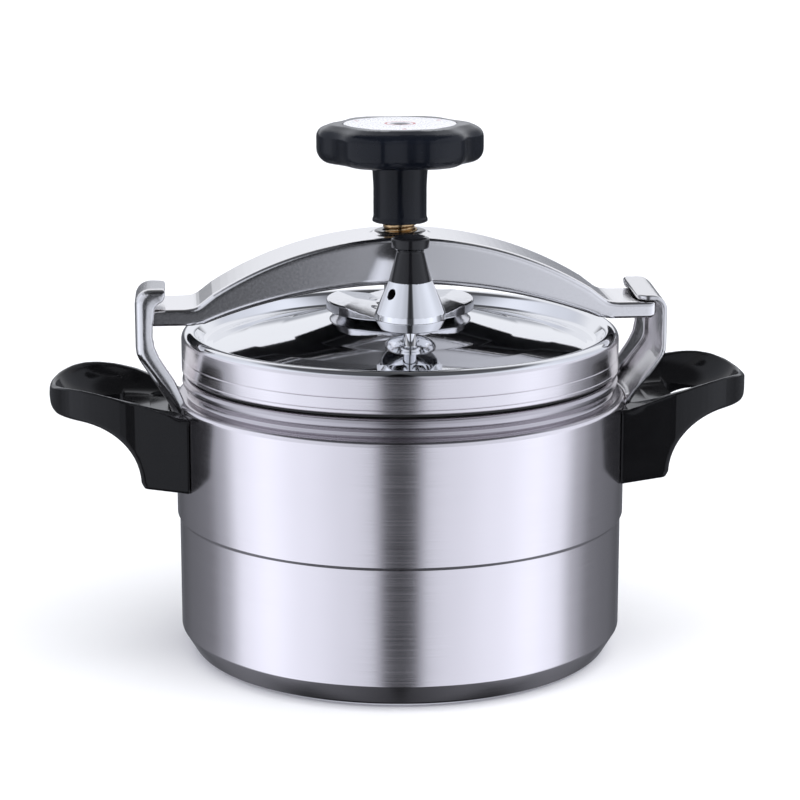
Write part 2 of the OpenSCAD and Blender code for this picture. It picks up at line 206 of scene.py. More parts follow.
def skin(name, field, low, high, cell):
    """A mesh on the zero surface of a field in millimetres: surface nets, then moved onto the surface."""
    low = np.array(low, float)
    axes = [np.arange(a, b + cell, cell) for a, b in zip(low, high)]
    f = field(*np.meshgrid(*axes, indexing="ij"))
    inside = f < 0
    size = np.array(f.shape)
    corners = [np.array(c) for c in np.ndindex(2, 2, 2)]
    filled = sum(inside[tuple(slice(c, c + n - 1) for c, n in zip(corner, size))].astype(int)
                 for corner in corners)
    cells = np.argwhere((filled > 0) & (filled < 8))
    index = np.full(size - 1, -1)
    index[tuple(cells.T)] = np.arange(len(cells))
    total, hits = np.zeros((len(cells), 3)), np.zeros(len(cells))
    for a in corners:
        for b in corners:
            if (b - a).sum() != 1 or (b - a).min() < 0:
                continue
            fa, fb = f[tuple((cells + a).T)], f[tuple((cells + b).T)]
            cut = (fa < 0) != (fb < 0)
            t = fa[cut] / (fa[cut] - fb[cut])
            total[cut] += a + t[:, None] * (b - a)
            hits[cut] += 1
    points = low + cell * (cells + total / hits[:, None])
    for _ in range(3):
        slope = field_normals(field, points)
        length = np.maximum((slope ** 2).sum(axis=1), 0.05)
        move = -(field(*points.T) / length)[:, None] * slope
        points += np.clip(move, -cell / 2, cell / 2)
    faces = []
    for axis in range(3):
        u, v = np.eye(3, dtype=int)[[(axis + 1) % 3, (axis + 2) % 3]]
        before = inside[tuple(slice(0, -1) if i == axis else slice(None) for i in range(3))]
        after = inside[tuple(slice(1, None) if i == axis else slice(None) for i in range(3))]
        at = np.argwhere(before != after)
        quads = np.stack([index[tuple((at - s).T)] for s in (0 * u, u, u + v, v)], axis=1)
        outward = before[tuple(at.T)]
        quads[~outward] = quads[~outward][:, ::-1]
        faces.append(quads)
    mesh = bpy.data.meshes.new(name)
    mesh.from_pydata((points * MM).tolist(), [], np.concatenate(faces).tolist())
    mesh.validate()
    mesh.shade_smooth()
    slope = field_normals(field, points)
    slope /= np.linalg.norm(slope, axis=1)[:, None] + 1e-9
    mesh.normals_split_custom_set_from_vertices(slope.tolist())
    piece = bpy.data.objects.new(name, mesh)
    bpy.context.scene.collection.objects.link(piece)
    return piece


def dress(piece, body, slot, material, *nodes):
    """Gives a piece its material and body, and says which CAD nodes it stands for. The slot argument is not
    used.
    """
    piece.data.materials.clear()
    piece.data.materials.append(material)
    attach(piece, body)
    if nodes:
        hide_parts(*nodes)


def half_turn(piece, name):
    """A copy of a piece turned 180 degrees about the pot's axis."""
    other = piece.copy()
    other.data = piece.data.copy()
    other.name = name
    other.data.transform(Matrix.Rotation(math.pi, 4, "Z"))
    bpy.context.scene.collection.objects.link(other)
    return other


# ---------------------------------------------------------------- materials
def math_node(tree, operation, a, b=None):
    """A math node's output; a and b are numbers or other outputs."""
    node = tree.nodes.new("ShaderNodeMath")
    node.operation = operation
    for socket, value in zip(node.inputs, (a, b)):
        if isinstance(value, (int, float)):
            socket.default_value = value
        elif value is not None:
            tree.links.new(value, socket)
    return node.outputs[0]


class Nodes:
    """A short way to build a node material."""

    def __init__(self, name):
        self.material = bpy.data.materials.new(name)
        self.material.use_nodes = True
        self.tree = self.material.node_tree
        self.shader = next(n for n in self.tree.nodes if n.type == "BSDF_PRINCIPLED")

    def add(self, kind):
        return self.tree.nodes.new(kind)

    def link(self, out, into):
        self.tree.links.new(out, into)

    def set(self, **values):
        for key, value in values.items():
            self.shader.inputs[key.replace("_", " ")].default_value = value

    def math(self, operation, a, b=None):
        return math_node(self.tree, operation, a, b)

    def radius(self, x, y):
        return self.math("SQRT", self.math("ADD", self.math("MULTIPLY", x, x), self.math("MULTIPLY", y, y)))

    def near(self, value, centre, reach):
        """One where a value is within reach of the centre."""
        out = self.math("COMPARE", value, centre)
        out.node.inputs[2].default_value = reach
        return out

    def place(self, scale, turned=False):
        """Object coordinates scaled per axis; turned ones are (radius, 0, height), for turning marks."""
        coord = self.add("ShaderNodeTexCoord").outputs["Object"]
        if turned:
            split = self.add("ShaderNodeSeparateXYZ")
            self.link(coord, split.inputs[0])
            join = self.add("ShaderNodeCombineXYZ")
            self.link(self.radius(split.outputs[0], split.outputs[1]), join.inputs[0])
            self.link(split.outputs[2], join.inputs[2])
            coord = join.outputs[0]
        mapping = self.add("ShaderNodeMapping")
        mapping.inputs["Scale"].default_value = scale
        self.link(coord, mapping.inputs["Vector"])
        return mapping.outputs[0]

    def noise(self, vector, scale=1.0, detail=2.0, roughness=0.5):
        node = self.add("ShaderNodeTexNoise")
        node.inputs["Scale"].default_value = scale
        node.inputs["Detail"].default_value = detail
        node.inputs["Roughness"].default_value = roughness
        self.link(vector, node.inputs["Vector"])
        return node.outputs["Fac"]

    def ramp(self, factor, low, high, lo=0.3, hi=0.7):
        """Maps factor lo..hi to the values low..high."""
        node = self.add("ShaderNodeMapRange")
        node.inputs["From Min"].default_value = lo
        node.inputs["From Max"].default_value = hi
        node.inputs["To Min"].default_value = low
        node.inputs["To Max"].default_value = high
        self.link(factor, node.inputs["Value"])
        return node.outputs[0]

    def tint(self, factor, first, second):
        node = self.add("ShaderNodeMix")
        node.data_type = "RGBA"
        node.inputs[6].default_value = (*first, 1)
        node.inputs[7].default_value = (*second, 1)
        self.link(factor, node.inputs[0])
        self.link(node.outputs[2], self.shader.inputs["Base Color"])

    def bump(self, height, strength, distance):
        node = self.add("ShaderNodeBump")
        node.inputs["Strength"].default_value = strength
        node.inputs["Distance"].default_value = distance
        self.link(height, node.inputs["Height"])
        self.link(node.outputs[0], self.shader.inputs["Normal"])


def metal(name, first, second, rough, brushed, bump, anisotropic=0.0, turned=False):
    """Metal with fine lines. brushed scales the lines along each axis; rough is the roughness range."""
    m = Nodes(name)
    lines = m.noise(m.place(brushed, turned), 1.0, 3.0, 0.6)
    clouds = m.noise(m.place((18, 18, 18)), 1.0, 3.0, 0.55)
    m.set(Metallic=1.0, Anisotropic=anisotropic)
    m.link(m.ramp(lines, *rough), m.shader.inputs["Roughness"])
    m.tint(clouds, first, second)
    m.bump(lines, bump, 0.00004)
    return m.material


def moulded(name, colour, rough, coat, shine=0.3):
    """Glossy moulded plastic with a faint orange peel and handling marks."""
    m = Nodes(name)
    peel = m.noise(m.place((300, 300, 300)), 1.0, 2.0, 0.5)
    marks = m.noise(m.place((40, 40, 55)), 1.0, 4.0, 0.6)
    m.set(Metallic=0.0, Coat_Weight=coat, Coat_Roughness=0.08, Specular_IOR_Level=shine)
    m.link(m.ramp(marks, *rough), m.shader.inputs["Roughness"])
    m.tint(marks, colour, tuple(c * 1.7 + 0.002 for c in colour))
    m.bump(peel, 0.10, 0.00005)
    return m.material


SATIN = metal("pot_satin_aluminium", (0.865, 0.825, 0.855), (0.925, 0.88, 0.91), (0.13, 0.21),
              (6, 6, 2600), 0.10, 0.4)
# darker copy of the satin aluminium: painted shade on the neck and rim bead under the lid's skirt
NECK_PAINTED_SHADE = metal("pot_neck_painted_shade", (0.52, 0.495, 0.52), (0.64, 0.61, 0.64), (0.16, 0.26),
             (6, 6, 2600), 0.12, 0.4)
INSIDE = metal("pot_inside_aluminium", (0.72, 0.725, 0.74), (0.80, 0.80, 0.82), (0.24, 0.36),
               (8, 8, 1500), 0.12, 0.3)
MIRROR = metal("lid_mirror_aluminium", (0.86, 0.865, 0.885), (0.92, 0.92, 0.93), (0.03, 0.07),
               (700, 1, 700), 0.015, 0, True)
SKIRT = metal("lid_turned_aluminium", (0.80, 0.765, 0.79), (0.89, 0.85, 0.875), (0.12, 0.24),
              (5, 5, 3200), 0.16, 0.4)
STEEL = metal("polished_steel", (0.90, 0.885, 0.885), (0.95, 0.935, 0.935), (0.12, 0.18),
              (900, 2200, 900), 0.02)
# dark steel used as painted shade: in the crossbar's hollow channel and on the knob screw in its hole
SHADE_STEEL = metal("painted_shade_steel", (0.13, 0.13, 0.135), (0.24, 0.24, 0.25), (0.35, 0.50),
             (60, 60, 60), 0.2)
BRACKET = metal("pressed_steel", (0.80, 0.79, 0.79), (0.88, 0.87, 0.87), (0.14, 0.24),
                (900, 1400, 900), 0.02)
FASTENER = metal("fastener_steel", (0.62, 0.62, 0.64), (0.74, 0.74, 0.75), (0.14, 0.26),
                 (600, 600, 600), 0.05)
CHROME = metal("chrome_plate", (0.86, 0.87, 0.89), (0.90, 0.905, 0.92), (0.02, 0.05),
               (500, 500, 500), 0.01)
BRASS = metal("brass", (0.46, 0.31, 0.16), (0.62, 0.45, 0.26), (0.14, 0.24), (700, 700, 2400), 0.06)
PLATE = metal("plate_cast_aluminium", (0.80, 0.80, 0.82), (0.88, 0.88, 0.90), (0.10, 0.20),
              (260, 260, 260), 0.08)
BAKELITE = moulded("bakelite", (0.003, 0.003, 0.0035), (0.10, 0.20), 0.25, 0.14)
KNOB = moulded("knob_bakelite", (0.003, 0.004, 0.007), (0.16, 0.28), 0.20, 0.16)
BLACK = moulded("regulator_plastic", (0.004, 0.004, 0.005), (0.08, 0.16), 0.3)
RUBBER = moulded("gasket_rubber", (0.020, 0.020, 0.021), (0.55, 0.75), 0.0)


def label_material():
    """White foil with a thin ring round its hole and three short bars near its edge."""
    m = Nodes("label_foil")
    split = m.add("ShaderNodeSeparateXYZ")
    m.link(m.add("ShaderNodeTexCoord").outputs["Object"], split.inputs[0])
    x, y = split.outputs[0], split.outputs[1]
    radius = m.radius(x, y)
    ring = m.near(radius, 0.0072, 0.0006)
    bars = m.math("GREATER_THAN", m.math("SINE", m.math("MULTIPLY", m.math("ARCTAN2", y, x), 3.0)), 0.992)
    mark = m.math("MAXIMUM", ring, m.math("MULTIPLY", bars, m.near(radius, 0.0238, 0.0013)))
    grain = m.noise(m.place((900, 900, 900)), 1.0, 2.0, 0.5)
    m.set(Metallic=0.0, IOR=1.5)
    m.link(m.ramp(grain, 0.22, 0.36), m.shader.inputs["Roughness"])
    m.tint(mark, (0.72, 0.72, 0.75), (0.42, 0.10, 0.10))
    m.bump(grain, 0.05, 0.00003)
    return m.material


LABEL = label_material()


# ---------------------------------------------------------------- pot and lid
def finer(points, low, high, step):
    """Cuts the segments of a profile that lie between two radii into short steps."""
    out = [points[0]]
    for a, b in zip(points, points[1:]):
        inside = min(max(a.x, low), high) != min(max(b.x, low), high)
        count = max(1, math.ceil((b - a).length / step)) if inside else 1
        out += [a.lerp(b, (i + 1) / count) for i in range(count)]
    return out


def build_pot():
    """The spun body: foot, step, shoulder, neck and rim bead, then the inside."""
    bead = RIM_Z - 3.4
    inner_r, floor_z, neck_z = 110.4, 3.5, 131.4
    points = [
        (0, 0, 0), (101, 0, 2.5), (105.5, 2.2, 4), (WALL_R, 13, 2.2), (WALL_R, 70.1, 0.8),
        (POT_R, 71.9, 0.8), (POT_R, 132.3, 9), (107, 133.2, 2.6), (106.4, bead - 4.4, 0.5),
        *arc(106.4, bead, 3.2, -80, 80), (106.4, RIM_Z, 0), (103, RIM_Z, 1), (103, 133.5, 1),
        (110.2, 128, 7), (110.2, 72.6, 1), (109, 71, 1), (109, 4, 9), (0, 4, 0)]
    piece = lathe("pot_spun_body", points, steps=8)
    dress(piece, "pot", "pot_aluminium", SATIN, "pot_body")
    piece.data.materials.append(INSIDE)
    piece.data.materials.append(NECK_PAINTED_SHADE)
    # inner faces take the inside aluminium; outer faces above the neck height take the painted shade
    for face in piece.data.polygons:
        middle = face.center / MM
        out = middle.x * face.normal.x + middle.y * face.normal.y
        inner = math.hypot(middle.x, middle.y) < inner_r and middle.z > floor_z
        if inner and (out < 0.1 or middle.z < 5) and middle.z < RIM_Z - 0.4:
            face.material_index = 1
        elif middle.z > neck_z:
            face.material_index = 2


def build_lid():
    """The pressed lid: skirt with two turned grooves, rolled crest, well, dome, and two flat seats."""
    round_x, round_z, round_r = 105.5, 160.5, 4.3
    thick = 2.5
    under = [
        (SKIRT_R - thick, SKIRT_Z, 0.5), *arc(round_x, round_z, round_r - thick, 0, 145, 6),
        (100.2, 156.2, 1), (98, 154.9, 1), (93.2, 154.9, 1), (90, 156, 2),
        (78, 158.6, 20), (60, 162.5, 30), (35, 169.1, 6), (26, 171.7, 2), (0, 171.7, 0)]
    top = [
        (0, 174.2, 0), (27.4, 174.2, 2.4), (35, 171.6, 8), (60, 165.1, 30), (78, 161.5, 20),
        (92, 157.9, 3), (94, 157.4, 1.2), (98, 157.4, 2.8), (99.3, 158.6, 0.8),
        *arc(round_x, round_z, round_r, 145, 0, 16),
        (SKIRT_R, SKIRT_Z + 7.9, 0.1), (SKIRT_R - 0.3, SKIRT_Z + 7.6, 0.1), (SKIRT_R, SKIRT_Z + 7.3, 0.1),
        (SKIRT_R, SKIRT_Z + 2.4, 0.1), (SKIRT_R - 0.3, SKIRT_Z + 2.1, 0.1), (SKIRT_R, SKIRT_Z + 1.8, 0.1),
        (SKIRT_R, SKIRT_Z, 0.9)]
    profile = finer(filleted(top + under, steps=8), VENT_Y - 14, VENT_Y + 14, 0.7)
    bm = bmesh.new()
    add_lathe(bm, profile, segments=512)
    edge = 10.6
    for v in bm.verts:
        away = math.hypot(v.co.x, abs(v.co.y) - VENT_Y)
        r = math.hypot(v.co.x, v.co.y)
        if away > edge + 4 or r < 1:
            continue
        t = min(max((away - edge + 1.4) / 2.6, 0), 1)
        keep = t * t * (3 - 2 * t)
        middle = 163.2 + (60 - r) * (0.288 if r < 60 else 0.2)
        goal = SEAT_Z if v.co.z > middle else SEAT_Z - thick
        v.co.z = goal + (v.co.z - goal) * keep
    piece = object_from(bm, "lid_pressed_shell", 50)
    dress(piece, "lid", "lid_aluminium", MIRROR, "lid_shell")
    piece.data.materials.append(SKIRT)
    for face in piece.data.polygons:
        if math.hypot(face.center.x, face.center.y) / MM > 109.2 or face.normal.z < -0.2:
            face.material_index = 1


def build_vent_pipe():
    piece = lathe("vent_pipe_stem", [
        (1.6, 151, 0.3), (4, 151, 0.5), (4, SEAT_Z, 0), (5.3, SEAT_Z, 0.2), (5.3, 165.1, 0.4),
        (4.4, 165.8, 0.3), (3.15, 165.8, 0.5), (3.15, 185, 0.5), (1.6, 185, 0.2)], (0, -VENT_Y), True, 64)
    dress(piece, "lid", "chrome_plate", CHROME, "vent_pipe")


def hexagon(x, y, half):
    """Distance of (x, y) from a hexagon of this half width across flats."""
    return np.maximum(np.abs(y), np.abs(x) * math.sqrt(3) / 2 + np.abs(y) / 2) - half


def build_safety_plug():
    def field(x, y, z):
        y = y - VENT_Y
        r = np.hypot(x, y)
        body = both(hexagon(x, y, 6.35), np.abs(z - 165.7) - 1.8, 0.5)
        body = both(body, r + z * 0.8 - 7.2 - 167.5 * 0.8, 0.3)
        dome = both(r - 4.6, np.abs(z - 168) - 1.1, 1.2)
        shank = both(r - 4, np.abs(z - 158.2) - 6.2, 0.6)
        return without(either(either(body, dome, 0.6), shank, 0.3), both(r - 1.1, 167 - z, 0.2), 0.3)

    piece = skin("safety_plug_brass", field, (-8, VENT_Y - 8, 151), (8, VENT_Y + 8, 170), 0.4)
    dress(piece, "lid", "brass", BRASS, "safety_plug")


def build_pressure_plate():
    """A disc with two crossed V-grooves, a socket for the screw's foot and four rivet holes."""
    low, high, depth, half = 174.2, 179.5, 4.0, 20.7

    def field(x, y, z):
        r = np.hypot(x, y)
        disc = both(r - 37, np.abs(z - (low + high) / 2) - (high - low) / 2, 0.8)
        for turn in (-20, 20):
            a = math.radians(turn)
            across = np.sqrt((x * math.cos(a) + y * math.sin(a)) ** 2 + 0.05)
            disc = without(disc, high - depth + depth * across / half - z, 0.15)
        hub = both(r - 12, np.abs(z - 176.2) - 2, 0.8)
        plate = without(either(disc, hub, 0.8), both(r - 9.3, 176.2 - z, 0.5), 0.6)
        u, v = np.abs(x) - 12.02, np.abs(y) - 12.02
        return without(plate, both(np.hypot(u, v) - 3.3, 175.5 - z, 0.3), 0.4)

    piece = skin("pressure_plate_cast", field, (-38, -38, 173.5), (38, 38, 180.3), 0.6)
    dress(piece, "lid", "lid_aluminium", PLATE, "pressure_plate")


def build_plate_rivets():
    bm = bmesh.new()
    for turn in range(45, 360, 90):
        centre = (17 * math.cos(math.radians(turn)), 17 * math.sin(math.radians(turn)))
        profile = filleted([(0, 170.3, 0), (3.4, 170.3, 0.4), (3.4, 171.6, 0), (2, 171.6, 0), (2, 175.5, 0),
                            (3.2, 175.5, 0), (3.1, 176.4, 0.8), (2.2, 177.0, 1.5), (0, 177.1, 0)])
        add_lathe(bm, profile, centre, 32)
    dress(object_from(bm, "plate_rivet_heads"), "lid", "rivet_aluminium", FASTENER, "plate_rivets")


# ---------------------------------------------------------------- regulator
def build_regulator():
    """The conical weight with its side hole, and its black cap."""
    profile = [tuple(p) for p in filleted([
        (3.3, 174.8, 0.2), (14.3, 174.8, 0.6), (17.25, 179.8, 1.2), (17.0, 182.8, 1.2), (10.4, 198.2, 0.3),
        (2.25, 198.2, 0), (2.25, 187, 0.3), (3.3, 187, 0)], closed=True)]
    hole, hole_z = math.radians(-142), 192.8

    def field(x, y, z):
        y = y + VENT_Y
        shell = outline(np.hypot(x, y), z, profile)
        along = x * math.cos(hole) + y * math.sin(hole)
        across = np.hypot(-x * math.sin(hole) + y * math.cos(hole), z - hole_z)
        return without(shell, both(across - 2.3, 5.5 - along, 0.3), 0.5)

    weight = skin("regulator_weight_chrome", field, (-18, -VENT_Y - 18, 174), (18, 18 - VENT_Y, 199), 0.5)
    dress(weight, "regulator", "chrome_plate", CHROME, "regulator_weight")
    weight.data.materials.append(BLACK)
    # the inner faces of the side hole and the bore take the black plastic as painted shade
    for face in weight.data.polygons:
        x, y, z = face.center / MM
        y += VENT_Y
        along = x * math.cos(hole) + y * math.sin(hole)
        across = math.hypot(-x * math.sin(hole) + y * math.cos(hole), z - hole_z)
        if (along > 2 and across < 2.5) or math.hypot(x, y) < 3.4:
            face.material_index = 1
    cap = lathe("regulator_cap_black", [
        (0, 198.22, 0), (10.35, 198.22, 0.25), (6.35, 213.1, 1.6), (9.15, 214.3, 0.6), (9.15, 218.6, 0.9),
        (7.4, 219.3, 0.8), (0, 219.3, 0)], (0, -VENT_Y), segments=96)
    dress(cap, "regulator", "regulator_plastic", BLACK, "regulator_cap")


# ---------------------------------------------------------------- crossbar and screw
def arch(radius, crown, x0, x1, steps):
    """Points on the top of a circular arch, from x0 to x1."""
    xs = [x0 + (x1 - x0) * i / steps for i in range(steps + 1)]
    return [(x, crown - radius + math.sqrt(radius * radius - x * x), 0) for x in xs]


def mirrored(half):
    """The closed outline made of a right half, from the crown round to the middle of the underside."""
    right = filleted(half)
    return [tuple(p) for p in right] + [(-p.x, p.y) for p in reversed(right[:-1])][:-1]


def build_crossbar():
    """The channel-shaped beam with flat toes, its bush and the black lock ring on top."""
    sheet, toe_top, toe_low = 3.0, 179.0, 170.5
    under_radius, under_crown = 272, 189.5
    outer = mirrored([
        *arch(178, BAR_TOP, 0, 94, 24), (102.5, toe_top + 0.6, 9), (108, toe_top, 4),
        (BAR_HALF, toe_top, 1.6), (BAR_HALF, toe_low, 5), (104, toe_low, 9),
        *arch(under_radius, under_crown, 98, 0, 16)])
    inner = mirrored([
        *arch(178 - sheet, BAR_TOP - sheet, 0, 92, 24), (101, toe_top - 2.2, 7), (108, toe_top - sheet, 4),
        (BAR_HALF - sheet, toe_top - sheet, 1.5), (BAR_HALF - sheet, 160, 0), (0, 160, 0)])

    def field(x, y, z):
        beam = both(outline(x, z, outer), np.abs(y) - BAR_W / 2, 3.4)
        corner = both(np.abs(x) - BAR_HALF, np.abs(y) - BAR_W / 2, 5)
        beam = both(beam, corner, 0.5)
        cavity = both(outline(x, z, inner), np.abs(y) - BAR_W / 2 + sheet, 2)
        r = np.hypot(x, y)
        pad = both(r - 13.4, np.abs(z - BAR_TOP + sheet / 2) - sheet / 2, 0.6)
        return without(either(without(beam, cavity, 1.0), pad, 2.5), r - 11.02, 0.5)

    piece = skin("crossbar_formed_beam", field, (-BAR_HALF - 1.5, -BAR_W / 2 - 1.5, 170),
                 (BAR_HALF + 1.5, BAR_W / 2 + 1.5, 215), 0.85)
    dress(piece, "crossbar", "crossbar_steel", STEEL, "crossbar_beam")
    piece.data.materials.append(SHADE_STEEL)
    # the channel's inner walls and hollow underside take the dark steel as painted shade
    for face in piece.data.polygons:
        x, y, z = face.center / MM
        edge_z = arch(under_radius, under_crown, abs(x), abs(x), 1)[0][1]
        facing = abs(face.normal.y) > 0.6 or (face.normal.z < -0.35 and z > edge_z + 1.5)
        if facing and abs(y) < BAR_W / 2 - sheet + 0.6 and math.hypot(x, y) > 11.5:
            face.material_index = 1
    bush = lathe("crossbar_screw_bush", [
        (8.55, 203, 0.5), (15, 203, 0.8), (15, 206, 0.8), (11, 206, 0.5), (11, BAR_TOP, 0.3),
        (8.55, BAR_TOP, 0.3)], closed=True)
    dress(bush, "crossbar", "fastener_steel", FASTENER, "crossbar_bush")
    ring = lathe("bush_lock_ring_black", [
        (8.8, BAR_TOP, 0.2), (12.8, BAR_TOP, 0.2), (12.8, BAR_TOP + 0.6, 0.4), (11.8, BAR_TOP + 1, 0.3),
        (8.8, BAR_TOP + 1, 0.2)], closed=True)
    dress(ring, "crossbar", "fastener_steel", BLACK, "bush_lock_ring")


def build_screw():
    """The brass spindle: a helical thread, and a plain neck that carries the foot."""
    pitch, crest, depth = 4.0, 8.5, 1.3

    def field(x, y, z):
        r = np.hypot(x, y)
        phase = (z / pitch - np.arctan2(y, x) / (2 * math.pi)) % 1.0
        wave = ease(np.abs(phase - 0.5) * 2, 0.25, 0.85)
        thread = r - crest + depth * wave
        screw = both(thread, np.abs(z - 204.85) - 13.35, 0.8)
        neck = both(r - 5, np.abs(z - 188) - 5.8, 0.6)
        return either(screw, neck, 0.8)

    piece = skin("screw_threaded_spindle", field, (-9.5, -9.5, 181), (9.5, 9.5, 219.2), 0.42)
    dress(piece, "knob", "brass", BRASS, "spindle")


def build_knob():
    """The lobed head on its stem, cut for the screw, and the label disc let into its top."""
    lobes, cutter, stand_off = 6, 16.0, 12.8
    profile = [tuple(p) for p in filleted([
        (-1, 248, 0), (KNOB_R, 248, 7), (KNOB_R, 264, 5), (34.5, 267, 4),
        (28.4, 267, 0.4), (28.4, 266.2, 0), (-1, 266.2, 0)], closed=True)]
    stem = [tuple(p) for p in filleted([
        (-1, 218.22, 0), (13.7, 218.22, 0.3), (13.9, 219.4, 0.5), (13.3, 221, 1), (13.3, 236, 30),
        (13.9, 246, 4), (16.5, 250, 2), (-1, 250, 0)], closed=True)]

    def field(x, y, z):
        r, turn = np.hypot(x, y), np.arctan2(y, x)
        step = 2 * math.pi / lobes
        near = turn % step - step / 2
        reach = KNOB_R + stand_off
        gap = np.hypot(r * np.cos(near) - reach, r * np.sin(near)) - cutter
        edge = both(r - KNOB_R, -gap, 5)
        head = outline(np.maximum(edge + KNOB_R, -0.5), z, profile)
        return without(either(head, outline(r, z, stem), 3), both(r - 5.1, 262 - z, 0.3), 0.5)

    piece = skin("knob_lobed_head", field, (-43, -43, 217), (43, 43, 268), 0.9)
    dress(piece, "knob", "bakelite", KNOB, "knob")
    label = lathe("knob_label_disc", [
        (5.1, 266.2, 0), (28, 266.2, 0.2), (28, 267, 0.3), (5.1, 267, 0.2)], closed=True)
    dress(label, "knob", "label_foil", LABEL, "knob_label")


# ---------------------------------------------------------------- brackets and handles
def bracket_field(lift):
    """The right-hand bracket, raised by lift: leg, slanted web, hook cap, and a flange on the +Y edge."""
    thick = 2.8
    half, flange_in, flange_out = 20.0, 21.4, 24.0
    web_out, bend_z, cap_z = 132.4, 154.9 + lift, 183.3 + lift + thick / 2
    web_x = web_out - thick / 2
    path = [tuple(p) for p in filleted([
        (LEG_R, 118, 0), (LEG_R, 128.3, 5), (web_x, bend_z, 12), (web_x, cap_z, 6.5), (118.4, cap_z, 0)])]
    envelope = [tuple(p) for p in filleted([
        (90, 100, 0), (116.2, 100, 0), (116.2, 128, 5), (web_out, bend_z - 0.2, 12.5),
        (web_out, cap_z + thick / 2, 8), (90, cap_z + thick / 2, 0)], closed=True)]
    plate = [tuple(p) for p in filleted([
        (113.2, 126.8, 0), (115.8, 128.5, 2), (web_out, bend_z, 12), (web_out, cap_z + 0.8, 6),
        (117.4, cap_z + 1.2, 2), (117.6, cap_z - 4.6, 3), (122.2, cap_z - 7, 7), (124.6, bend_z + 6, 30),
        (114.2, bend_z - 13, 16), (110.4, 132, 3)], closed=True)]
    tilt = math.tan(math.radians(4))

    def field(x, y, z):
        ring = LEG_R - np.sqrt(np.maximum(LEG_R ** 2 - y * y, 0))
        px = x + ring * (1 - ease(z, 128, 158))
        pz = z - tilt * y * ease(z, 166, 179)
        web = line_distance(px, pz, path) - thick / 2
        across = np.abs(y - (flange_out - half) / 2) - (flange_out + half) / 2
        tip = np.where(z > 168, 117 - x, -50)
        web = both(web, both(across, tip, 7), 1.1)
        leg = both(np.abs(y) - half, np.abs(z - 111) - 20, 6)
        leg = both(np.abs(np.hypot(x, y) - LEG_R) - thick / 2, leg, 0.9)
        pillow = 0.5 * ease(outline(px, pz, plate), -5, 0)
        flange = both(np.abs(y - (flange_in + flange_out) / 2) - (flange_out - flange_in) / 2 + pillow,
                      outline(px, pz, plate), 1.2)
        shape = either(either(web, leg, 1.5), flange, 2.5)
        return both(shape, both(outline(px, pz, envelope), y - flange_out, 6), 0.6)

    return field


def build_brackets():
    low, high = (108, -21.5, 90), (133.5, 25.5, 193)
    right = skin("right_bracket_pressed", bracket_field(RIGHT_LIFT), low, high, 0.7)
    dress(right, "pot", "clamp_steel", BRACKET, "right_clamp_bracket")
    base = skin("left_bracket_base", bracket_field(LEFT_LIFT), low, high, 0.7)
    left = half_turn(base, "left_bracket_pressed")
    bpy.data.objects.remove(base)
    dress(left, "pot", "clamp_steel", BRACKET, "left_clamp_bracket")


def build_handle():
    """The moulded handles: a block on the bracket's leg and a finger loop with a dished hole."""
    loop_x, dish_z = 133, 127.4
    side = [tuple(p) for p in filleted([
        (100, 88, 0), (129.0, 93.8, 2.5), *arc(161, 96, 30.4, 178, 92, 14), (174.4, 126.8, 5),
        (176.3, 134, 6), (175.6, 138.6, 2.5), (171, 140.9, 6), (165, 142.2, 10), (159, 142.4, 10),
        (152, 141.6, 12), (144, 140.0, 14), (133, 137, 14), (126, 134.2, 14), (119, 131.4, 12),
        (111, 127.8, 5), (100, 127.2, 0)], closed=True)]
    plan = [tuple(p) for p in filleted([
        (90, -38, 0), (108, -38, 4), (loop_x, -43, 30), *arc(loop_x, 0, 43, -84, 84, 40),
        (loop_x, 43, 30), (108, 38, 4), (90, 38, 0)], closed=True)]

    def field(x, y, z):
        edge = 3.0 - 2.0 * ease(z, 127, 131)
        solid = both(outline(x, z, side), outline(x, y, plan), edge)
        deep = np.clip(z - 127, 0, 30)
        bowl = 28 + 12.6 * (1 - np.exp(-deep / 9.5)) / (1 - math.exp(-15 / 9.5))
        ledge = (dish_z + (x - 139) * 0.04 - z) * 0.99
        ledge = np.where(x < 139, ledge, 139 - x + np.clip(dish_z - z, -20, 0) * 0.6)
        hole = both(np.hypot(x - loop_x, y) - bowl, ledge, 5)
        solid = without(solid, hole, 1.4)
        solid = without(solid, both(np.hypot(y, z - BOLT_Z) - 5.9, 128 - x, 0.4), 0.6)
        solid = without(solid, both(both(np.abs(y) - 25, x - 126, 3), 126.4 - z, 1), 0.6)
        r = np.hypot(x, y)
        slot = both(r - 116.35, np.abs(y) - 20.8, 0.6)
        return both(without(solid, slot, 0.5), 113.35 - r, 0.4)

    right = skin("right_handle_moulded", field, (105, -44.5, 86.5), (177.5, 44.5, 144), 0.85)
    dress(right, "pot", "bakelite", BAKELITE, "right_handle")
    dress(half_turn(right, "left_handle_moulded"), "pot", "bakelite", BAKELITE, "left_handle")


def build_handle_screws():
    def field(x, y, z):
        r = np.hypot(y, z - BOLT_Z)
        head = both(r - 5.5, np.abs(x - 129.8) - 1.8, 1.4)
        head = without(head, both(np.abs(y) - 0.7, 130 - x, 0.2), 0.3)
        return either(head, both(r - 3, np.abs(x - 117) - 12.4, 0.4), 0.4)

    right = skin("right_handle_bolt", field, (104, -6.5, 101), (132.5, 6.5, 115), 0.45)
    dress(right, "pot", "fastener_steel", FASTENER, "handle_screws")
    dress(half_turn(right, "left_handle_bolt"), "pot", "fastener_steel", FASTENER, "handle_screws")


build_pot()
build_lid()
build_vent_pipe()
build_safety_plug()
build_pressure_plate()
build_plate_rivets()
build_regulator()
build_crossbar()
build_screw()
build_knob()
build_brackets()
build_handle()
build_handle_screws()

